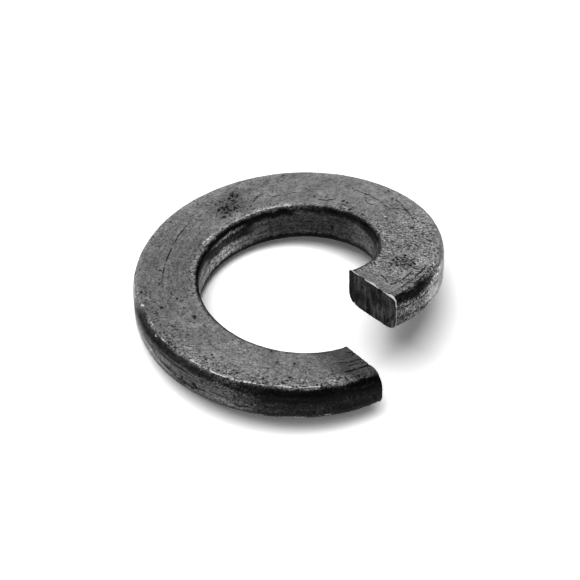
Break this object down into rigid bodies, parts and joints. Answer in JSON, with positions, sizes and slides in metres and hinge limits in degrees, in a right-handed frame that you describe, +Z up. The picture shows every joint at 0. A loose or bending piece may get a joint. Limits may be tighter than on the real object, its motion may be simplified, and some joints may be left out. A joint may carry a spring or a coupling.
{
  "type": "spring lock washer",
  "caption": "Helical spring lock washer: one turn of rounded flat spring wire, split and sprung, that keeps tension under a nut or bolt head.",
  "frame": {"origin": "where the bore axis crosses the surface that the washer lies on", "axes": "+Z up from the surface; the bore axis leans about 11 degrees back towards +Y; the split faces front right, towards +X and -Y"},
  "size_m": [0.0144, 0.0147, 0.0065],
  "materials": {
    "spring_steel": "hardened spring steel with a worn black oxide coat and bare bright shear edges"
  },
  "bodies": {
    "root": {"spring_washer": "spring_steel"}
  },
  "joints": []
}
